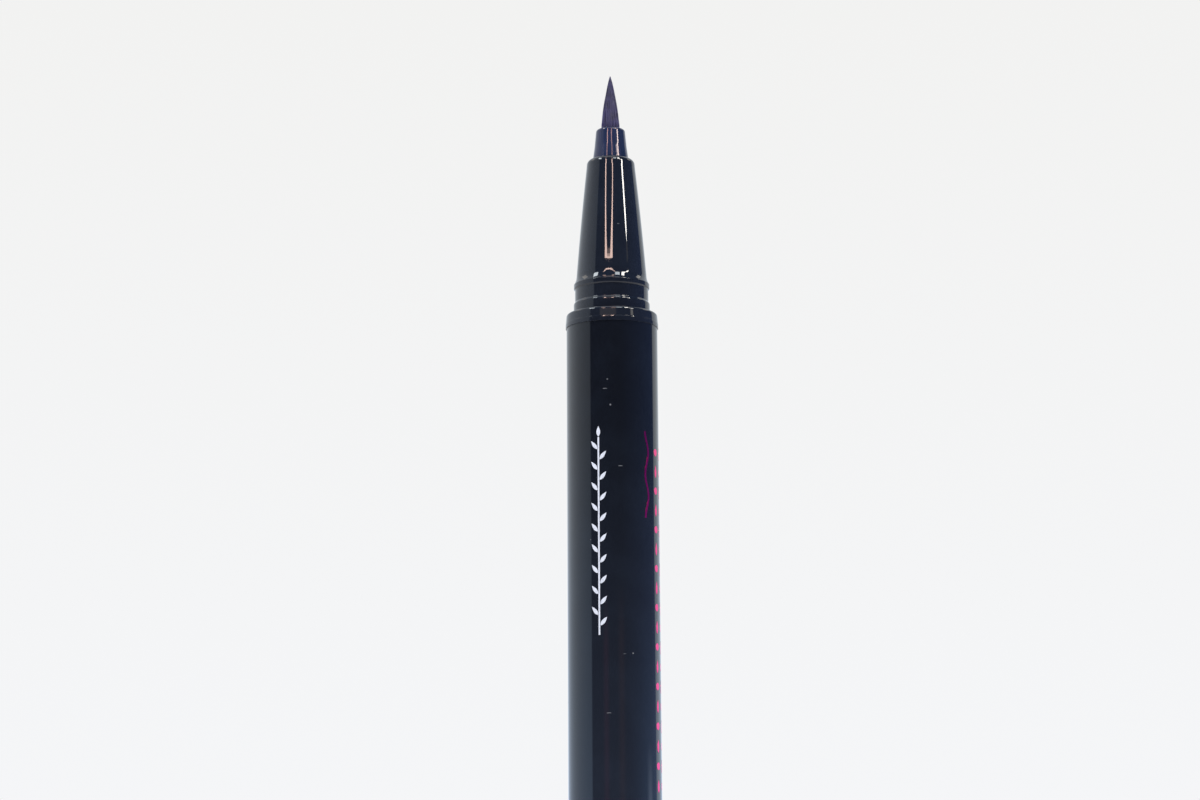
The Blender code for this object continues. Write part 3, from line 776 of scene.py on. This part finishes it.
def makeCap():
    middle = capCentre[:2]
    length = heights("cap_shell")[1]
    shell = {
        "outer": 5.0, "mouth": 4.27, "bore": 4.15, "boss": 2.1,
        "ledge": 3.5, "ledgeFrom": 9.6, "ridge": length - 1.875,
    }
    outline = [
        (0, 0.0),
        (4.1, 0.0),
        (4.2, 0.1),
        (shell["outer"], 0.1, 0.45),
        (shell["outer"], length, 0.12),
        (shell["mouth"], length, 0.12),
        (shell["mouth"], shell["ridge"] + 0.25),
        (4.13, shell["ridge"], 0.1),
        (shell["mouth"], shell["ridge"] - 0.25),
        (shell["mouth"], length - 4.25),
        (shell["bore"], length - 4.37),
        (shell["bore"], 11.4),
        (shell["ledge"], 10.5),
        (shell["ledge"], shell["ledgeFrom"]),
        (shell["bore"], shell["ledgeFrom"]),
        (shell["bore"], 1.0, 0.5),
        (shell["boss"], 1.0),
        (shell["boss"], 2.0, 0.1),
        (0, 2.0),
    ]
    shape = turnedShape(outline, sides=180, closed=False, centre=middle)
    piece = meshPiece("capShell", shape, capBlack)
    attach(piece, "cap")
    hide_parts("cap_shell")
    bottom, rim = heights("inner_cap")
    flange = (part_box("inner_cap")[1].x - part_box("inner_cap")[0].x) / 2 / mm
    cup = {"foot": 2.1, "outer": 3.475, "inner": 3.075, "flangeFrom": 8.7, "flangeTop": 9.5}
    outline = [
        (0, bottom),
        (cup["foot"], bottom, 0.1),
        (cup["foot"], cup["flangeFrom"]),
        (flange, cup["flangeFrom"], 0.1),
        (flange, cup["flangeTop"], 0.1),
        (cup["outer"], cup["flangeTop"]),
        (cup["outer"], rim, 0.12),
        (cup["inner"], rim, 0.12),
        (cup["inner"], 9.6, 0.4),
        (0, 9.6),
    ]
    shape = turnedShape(outline, closed=False, centre=middle)
    piece = meshPiece("innerCap", shape, milkyPlastic)
    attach(piece, "cap_seal")
    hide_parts("inner_cap")
    spring = {
        "mean": 2.5, "wire": 0.2, "turns": 6, "bottom": 1.25, "top": 8.45,
        "perTurn": 40, "sides": 12,
    }
    shape = bmesh.new()
    steps = spring["turns"] * spring["perTurn"]
    rings = []
    for step in range(steps + 1):
        turn = math.tau * step / spring["perTurn"]
        height = spring["bottom"] + (spring["top"] - spring["bottom"]) * step / steps
        outward = Vector((math.cos(turn), math.sin(turn), 0))
        place = Vector((*middle, height)) + spring["mean"] * outward
        ring = []
        for side in range(spring["sides"]):
            a = math.tau * side / spring["sides"]
            around = math.cos(a) * outward + Vector((0, 0, math.sin(a)))
            ring.append(shape.verts.new((place + spring["wire"] * around) * mm))
        rings.append(ring)
    skinRings(shape, rings)
    bmesh.ops.recalc_face_normals(shape, faces=shape.faces)
    piece = meshPiece("capSpring", shape, drawnSteel, sharpAngle=60)
    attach(piece, "cap")
    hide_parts("cap_spring")
    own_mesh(piece)


makeCap()
print("cap made")


def towards(azimuth, elevation):
    # Degrees as seen from the pen: azimuth 0 is the camera's side and positive to its right
    a, e = math.radians(azimuth), math.radians(elevation)
    return Vector((math.sin(a) * math.cos(e), -math.cos(a) * math.cos(e), math.sin(e)))


def softDaylight():
    # Even over the whole floor, with a wide disc for soft shadows
    light = {
        "azimuth": -28.0, "elevation": 60.0, "disc": 24.0,
        "strength": 1.6, "colour": (1.0, 0.99, 0.98),
    }
    data = bpy.data.lights.new("softDaylight", "SUN")
    data.angle = math.radians(light["disc"])
    data.color = light["colour"]
    data.energy = light["strength"]
    lamp = bpy.data.objects.new("softDaylight", data)
    lamp.rotation_mode = "QUATERNION"
    aim = towards(light["azimuth"], light["elevation"])
    lamp.rotation_quaternion = aim.to_track_quat("Z", "Y")
    lamp.visible_glossy = False
    scene.collection.objects.link(lamp)


def glowingTube(name, brightness, colour, tilt, rows):
    # A lamp's shape as the pen sees it: rows of (elevation, left azimuth, right azimuth), in
    # degrees. Tilt raises it by so much for each degree to the right.
    tube = {"distance": 0.8, "seenFrom": Vector((0, 0, 108 * mm)), "columns": 8, "rowStep": 2}
    columns = tube["columns"]
    shape = bmesh.new()
    before = None
    for lower, upper in zip(rows, rows[1:]):
        steps = max(1, math.ceil((upper[0] - lower[0]) / tube["rowStep"]))
        for step in range(1 if before else 0, steps + 1):
            share = step / steps
            e, left, right = (low + (high - low) * share for low, high in zip(lower, upper))
            line = []
            for part in range(columns + 1):
                a = left + (right - left) * part / columns
                place = tube["seenFrom"] + towards(a, e + tilt * a) * tube["distance"]
                line.append(shape.verts.new(place))
            if before:
                for part in range(columns):
                    shape.faces.new((before[part], before[part + 1], line[part + 1], line[part]))
            before = line
    mesh = bpy.data.meshes.new(name)
    shape.to_mesh(mesh)
    shape.free()
    material = bpy.data.materials.new(name + "Glow")
    material.use_nodes = True
    tree = material.node_tree
    tree.nodes.clear()
    glow = addNode(tree, "Emission", {"Color": (*colour, 1.0), "Strength": brightness})
    addNode(tree, "OutputMaterial", {0: glow})
    mesh.materials.append(material)
    lamp = bpy.data.objects.new(name, mesh)
    lamp.visible_camera = False
    lamp.visible_diffuse = False
    lamp.visible_shadow = False
    scene.collection.objects.link(lamp)


def makeLamps():
    warm, blush = (1.0, 0.70, 0.60), (1.0, 0.9, 0.86)
    cream, cool = (1.0, 0.96, 0.90), (0.88, 0.95, 1.0)
    lean = 0.0066
    lamps = (
        # A loop of thin tube in front: two legs on a narrow foot, open sides and a wide head
        ("loopFoot", 16.0, warm, lean, [(22.665, -22.7, 4.0), (22.82, -22.7, 4.0)]),
        ("loopFootGlow", 7.5, warm, lean, [(22.82, -15.2, -4.2), (23.0, -15.2, -4.4)]),
        ("loopFootHaze", 2.2, warm, lean, [(23.0, -15.2, -4.4), (23.35, -15.6, -3.2)]),
        ("loopLeftFoot", 16.5, warm, lean, [
            (22.82, -22.7, -15.2), (23.6, -22.9, -16.4), (24.3, -23.2, -18.2)]),
        ("loopRightFoot", 16.5, warm, lean, [
            (22.82, -4.4, 4.0), (23.6, -2.6, 4.4), (24.3, -0.8, 5.0)]),
        ("loopLeftLeg", 19.0, warm, lean, [
            (24.3, -23.2, -18.2), (26.0, -24.3, -20.4), (27.5, -25.5, -21.4),
            (29.0, -27.0, -22.6)]),
        ("loopRightLeg", 19.0, warm, lean, [
            (24.3, -0.8, 5.0), (26.0, 3.4, 7.2), (27.5, 6.2, 9.4), (29.0, 7.2, 10.8)]),
        ("loopLeft", 8.0, warm, 0, [
            (28.9, -27.0, -22.6), (32.0, -29.5, -23.5), (35.0, -30.0, -25.0)]),
        ("loopRight", 8.0, warm, 0, [(28.9, 6.6, 10.8), (32.0, 7.0, 12.0), (36.0, 8.5, 14.0)]),
        ("loopLeftHead", 4.2, warm, 0, [
            (56.0, -40.0, -27.0), (61.0, -42.0, -27.0), (66.0, -44.0, -28.0)]),
        ("loopRightHead", 6.0, warm, 0, [(56.0, 3.0, 12.0), (61.0, 3.0, 13.0), (66.0, 0.0, 12.0)]),
        ("loopHead", 2.4, warm, 0, [(66.0, -44.0, 12.0), (70.0, -34.0, 6.0)]),
        ("loopSpill", 0.42, blush, 0, [(17.5, -31.0, 11.0), (21.3, -31.0, 11.0)]),
        # A white tube on the right that fades out at its foot and bends over at its head
        ("sideTube", 32.0, cream, 0, [
            (22.5, 57.3, 57.7), (22.75, 57.0, 58.3), (23.1, 56.0, 59.5), (23.9, 55.0, 59.8),
            (25.2, 53.8, 59.6), (27.7, 52.0, 58.5), (30.5, 50.0, 57.5)]),
        ("sideTubeTail", 0.45, cream, 0, [(21.4, 54.5, 59.5), (22.5, 55.0, 60.0)]),
        ("sideTubeSpill", 2.0, cream, 0, [(18.6, 49.0, 56.0), (20.7, 49.0, 56.0)]),
        ("sideTubeBend", 24.0, cream, 0, [
            (30.5, 50.0, 57.5), (32.5, 39.0, 51.0), (35.5, 36.5, 49.0), (42.0, 37.5, 49.0),
            (49.0, 40.0, 52.0), (58.0, 46.0, 58.5)]),
        # White windows at both sides
        ("leftWindow", 13.0, cool, 0, [
            (32.5, -61.0, -46.5), (34.5, -64.0, -48.5), (40.5, -69.0, -51.0),
            (47.5, -74.5, -55.0), (54.0, -84.0, -65.0)]),
        ("rightWindow", 11.0, cool, 0, [
            (36.0, 13.5, 29.0), (44.5, 13.5, 31.0), (51.5, 15.0, 34.0), (56.5, 15.0, 36.0)]),
        ("farLeftWindow", 2.2, cream, 0, [(30.0, -122.0, -100.0), (44.0, -122.0, -100.0)]),
        ("farRightWindow", 2.6, cream, 0, [(30.0, 104.0, 122.0), (44.0, 104.0, 122.0)]),
    )
    for lamp in lamps:
        glowingTube(*lamp)
    softDaylight()


def makeFloor():
    # Paper, uncoated: matt and pale, faintly mottled by its fibres
    floor = {"radius": 2.6, "colours": ("#e6e7e9", "#dfe0e3"), "fibreSize": 1.5, "mottling": 0.25}
    shape = bmesh.new()
    bmesh.ops.create_circle(shape, cap_ends=True, segments=96, radius=floor["radius"])
    mesh = bpy.data.meshes.new("paperFloor")
    shape.to_mesh(mesh)
    shape.free()
    base = {"Roughness": 0.9, "Specular IOR Level": 0.2}
    material, tree, shader = newMaterial("mattPaperFloor", base)
    where = addNode(tree, "TexCoord").outputs["Object"]
    fibre = addNode(tree, "TexNoise", {
        "Vector": where, "Scale": perMetre(floor["fibreSize"]), "Detail": 3.0})
    share = addNode(tree, "MapRange", ranged(fibre, wanted=(0, floor["mottling"])))
    first, second = (linearColour(code) for code in floor["colours"])
    colour = addNode(tree, "Mix", {0: share, 6: first, 7: second})
    tree.links.new(colour.outputs[2], shader.inputs["Base Color"])
    mesh.materials.append(material)
    sheet = bpy.data.objects.new("paperFloor", mesh)
    scene.collection.objects.link(sheet)


def upPart(elevation):
    # How far upwards a direction of that elevation, in degrees, points
    return math.sin(math.radians(elevation))


def makeSurround():
    # The pale room wraps round from the left to behind, and what stands behind the camera is dark.
    # The eye sees the pale room all round. Reflections see both.
    room = {
        # What the eye sees, from the horizon to the top of the fade
        "paleLow": "#f5f6f8", "paleTop": "#f2f2f1", "paleFade": 0.34,
        # The dark side in reflections
        "darkLow": (0.25, 0.32, 0.52, 1.0),
        "darkMiddle": (0.01, 0.012, 0.02, 1.0),
        "darkHigh": (0.035, 0.08, 0.19, 1.0),
        "rightGlow": (0.065, 0.11, 0.27, 1.0),
        # Faint upright bands low in it: azimuth, half width, gone above, full below, colour
        "bands": (
            (-20.0, 11.0, 6.0, 4.5, (0.16, 0.03, 0.05, 1.0)),
            (18.0, 13.0, 6.0, 4.5, (0.12, 0.05, 0.03, 1.0)),
            (96.0, 13.0, 2.2, 0.8, (0.62, 0.72, 0.90, 1.0)),
            (90.0, 60.0, 5.5, 0.5, (0.09, 0.19, 0.32, 1.0)),
        ),
        # The pale side in reflections: dimmer near its edge, tinted low down
        "reflectedEdge": (0.46, 0.52, 0.58, 1.0),
        "reflected": (0.86, 0.93, 1.0, 1.0),
        "reflectedSpan": (55.0, 110.0),
        "lowTint": (1.50, 1.87, 2.48, 1.0), "lowTintLoss": -0.65,
        "ceiling": (1.25, 1.32, 1.40, 1.0),
        # Where each starts and is full, in degrees
        "azimuths": {
            "paleLeft": (-55.5, -58.5), "paleRight": (121.5, 124.5), "rightGlow": (20.0, 85.0),
        },
        "elevations": {
            "darkMiddle": (0.0, 10.0), "darkHigh": (20.0, 29.0), "lowTint": (10.0, 0.0),
            "ceiling": (69.0, 73.0),
        },
        # What lights the matt surfaces
        "fill": 0.70, "fillColour": (0.97, 0.98, 1.0, 1.0),
    }
    world = bpy.data.worlds.new("paleRoom")
    scene.world = world
    world.use_nodes = True
    tree = world.node_tree
    direction = addNode(tree, "TexCoord").outputs["Generated"]
    rightward, backward, upward = addNode(tree, "SeparateXYZ", {0: direction}).outputs
    ahead = addNode(tree, "Math", {0: backward, 1: -1.0}, operation="MULTIPLY")
    azimuth = addNode(tree, "Math", {0: rightward, 1: ahead}, operation="ARCTAN2")
    share = {}
    for name, span in room["azimuths"].items():
        share[name] = addNode(tree, "MapRange", ranged(azimuth, map(math.radians, span)))
    for name, span in room["elevations"].items():
        share[name] = addNode(tree, "MapRange", ranged(upward, map(upPart, span)))
    dark = room["darkLow"]
    for name, blend in (("darkMiddle", "MIX"), ("rightGlow", "ADD"), ("darkHigh", "MIX")):
        dark = addNode(tree, "Mix", {0: share[name], 6: dark, 7: room[name]}, blend_type=blend)
    for middle, half, gone, full, colour in room["bands"]:
        offset = addNode(tree, "Math", {0: azimuth, 1: math.radians(middle)}, operation="SUBTRACT")
        away = addNode(tree, "Math", {0: offset}, operation="ABSOLUTE")
        below = addNode(tree, "MapRange", ranged(upward, (upPart(gone), upPart(full))))
        across = addNode(
            tree, "MapRange", ranged(away, (math.radians(half), 0)),
            interpolation_type="SMOOTHSTEP")
        both = addNode(tree, "Math", {0: across, 1: below}, operation="MULTIPLY")
        dark = addNode(tree, "Mix", {0: both, 6: dark, 7: colour}, blend_type="ADD")
    turned = addNode(tree, "Math", {0: azimuth}, operation="ABSOLUTE")
    full = addNode(tree, "MapRange", ranged(turned, map(math.radians, room["reflectedSpan"])))
    side = addNode(tree, "Mix", {0: full, 6: room["reflectedEdge"], 7: room["reflected"]})
    near = addNode(
        tree, "Math", {0: full, 1: room["lowTintLoss"], 2: 1.0}, operation="MULTIPLY_ADD")
    tint = addNode(tree, "Math", {0: share["lowTint"], 1: near}, operation="MULTIPLY")
    side = addNode(tree, "Mix", {0: tint, 6: side, 7: room["lowTint"]}, blend_type="MULTIPLY")
    pale = addNode(
        tree, "Math", {0: share["paleLeft"], 1: share["paleRight"]}, operation="MAXIMUM")
    around = addNode(tree, "Mix", {0: pale, 6: dark, 7: side})
    mirrored = addNode(tree, "Mix", {0: share["ceiling"], 6: around, 7: room["ceiling"]})
    fade = addNode(tree, "MapRange", ranged(upward, (0, room["paleFade"])))
    low, high = linearColour(room["paleLow"]), linearColour(room["paleTop"])
    plain = addNode(tree, "Mix", {0: fade, 6: low, 7: high})
    rays = addNode(tree, "LightPath").outputs
    mirrorRay = addNode(
        tree, "Math", {0: rays["Is Glossy Ray"], 1: rays["Is Transmission Ray"]},
        operation="MAXIMUM")
    seenRay = addNode(tree, "Math", {0: rays["Is Camera Ray"], 1: mirrorRay}, operation="MAXIMUM")
    seen = addNode(tree, "Mix", {0: mirrorRay, 6: plain, 7: mirrored})
    colour = addNode(tree, "Mix", {0: seenRay, 6: room["fillColour"], 7: seen})
    strength = addNode(tree, "MapRange", ranged(seenRay, wanted=(room["fill"], 1)))
    background = tree.nodes["Background"]
    tree.links.new(colour.outputs[2], background.inputs["Color"])
    tree.links.new(strength.outputs[0], background.inputs["Strength"])


def makeCamera():
    # Found from the pen's outline in the 1200 x 800 picture. Place is in mm, angles in degrees.
    view = {
        "place": (0, -260.0, 40.976), "pitch": 10.272, "yaw": -0.3004, "roll": -0.3608,
        "lens": 72.335, "sensor": 36, "nearest": 0.01,
    }
    pitch, yaw, roll = (math.radians(view[name]) for name in ("pitch", "yaw", "roll"))
    ahead = Vector((
        math.sin(yaw) * math.cos(pitch), math.cos(yaw) * math.cos(pitch), math.sin(pitch)))
    right = Vector((math.cos(yaw), -math.sin(yaw), 0))
    up = right.cross(ahead)
    tiltedRight = math.cos(roll) * right + math.sin(roll) * up
    tiltedUp = -math.sin(roll) * right + math.cos(roll) * up
    data = bpy.data.cameras.new("camera")
    data.lens = view["lens"]
    data.sensor_width = view["sensor"]
    data.clip_start = view["nearest"]
    camera = bpy.data.objects.new("camera", data)
    turned = Matrix((tiltedRight, tiltedUp, -ahead)).transposed().to_4x4()
    camera.matrix_world = Matrix.Translation(Vector(view["place"]) * mm) @ turned
    scene.collection.objects.link(camera)
    scene.camera = camera


makeLamps()
makeFloor()
makeSurround()
makeCamera()
scene.view_settings.view_transform = "Standard"
print("studio made")
